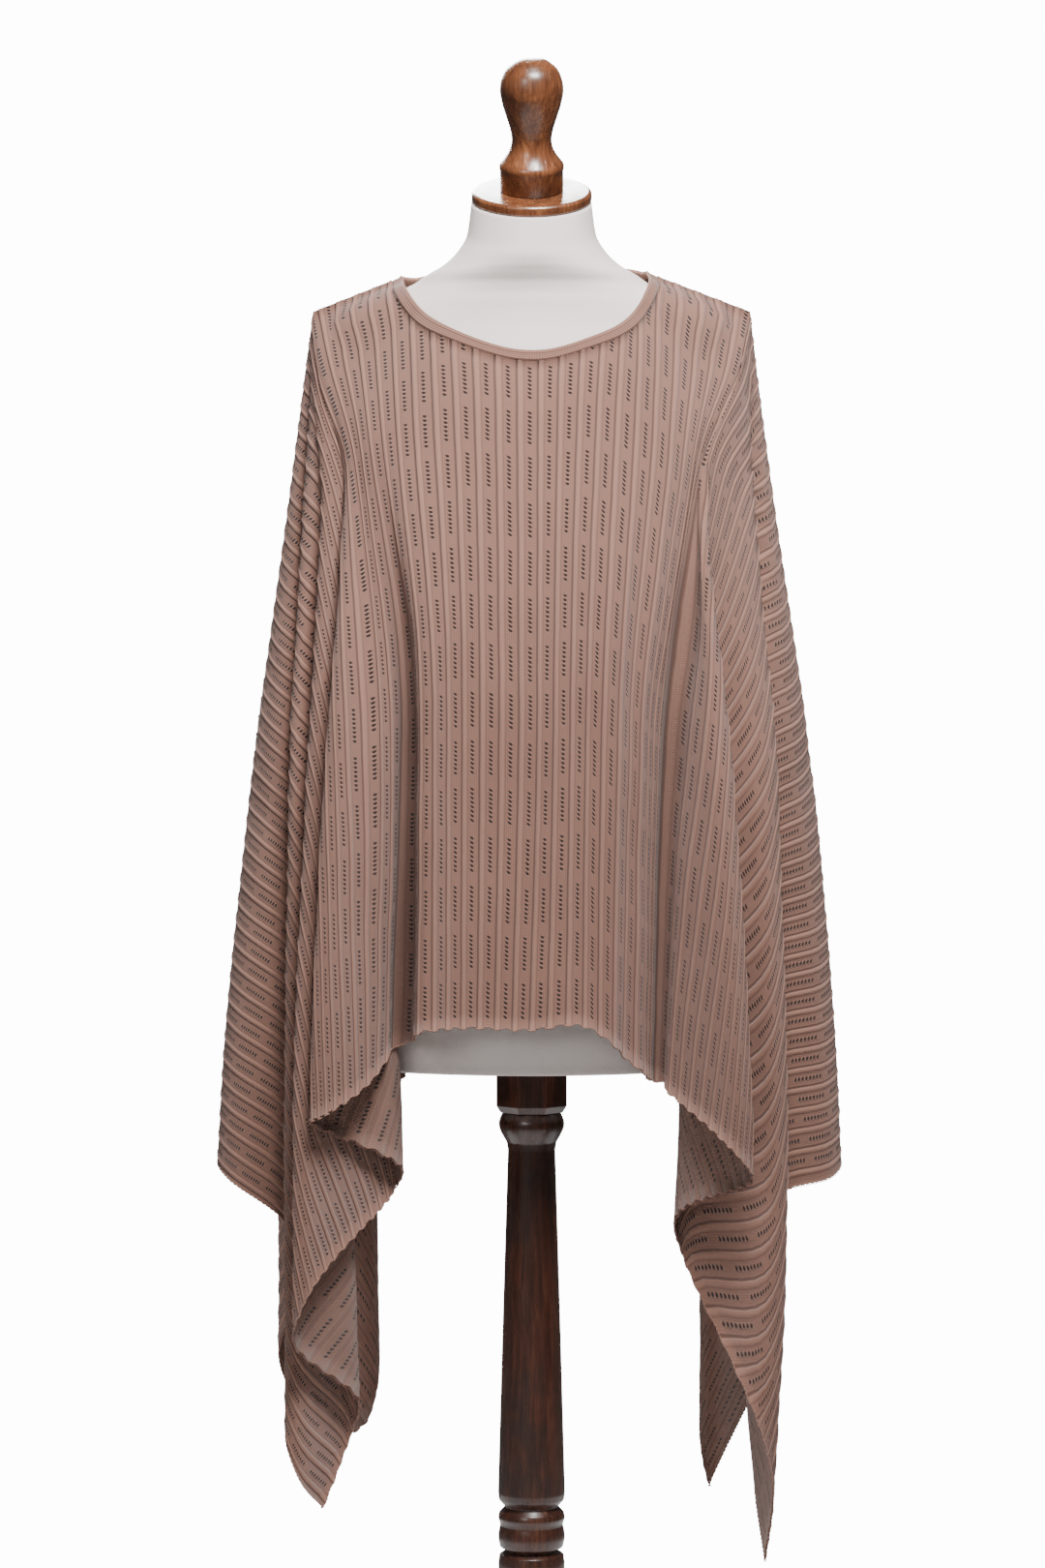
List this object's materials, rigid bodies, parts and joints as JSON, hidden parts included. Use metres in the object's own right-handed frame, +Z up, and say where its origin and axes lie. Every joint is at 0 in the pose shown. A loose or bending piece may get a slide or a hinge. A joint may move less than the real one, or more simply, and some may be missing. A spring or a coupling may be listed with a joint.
{
  "type": "knitted poncho sweater on a dress form with a turned wooden finial and post",
  "caption": "Loose ribbed lace-knit poncho draped in soft folds over a limbless linen dress form, with a turned finial on the neck and a turned post on a round base.",
  "frame": {"origin": "centre of the flat underside of the round base", "axes": "+Z up along the post, -Y towards the wearer's front, +X towards the wearer's left shoulder"},
  "size_m": [0.5456, 0.4046, 1.5875],
  "materials": {
    "knit": "matte rose-brown rib and eyelet knit",
    "linen": "matte off-white tightly stretched linen",
    "light_wood": "glossy medium brown turned hardwood with dark patches",
    "dark_wood": "semi-gloss dark brown turned hardwood"
  },
  "bodies": {
    "root": {"front_panel": "knit", "back_panel": "knit", "neckband": "knit", "form": "linen", "neck_plate": "light_wood", "finial": "light_wood", "post_block": "dark_wood", "post": "dark_wood", "base": "dark_wood"}
  },
  "joints": []
}
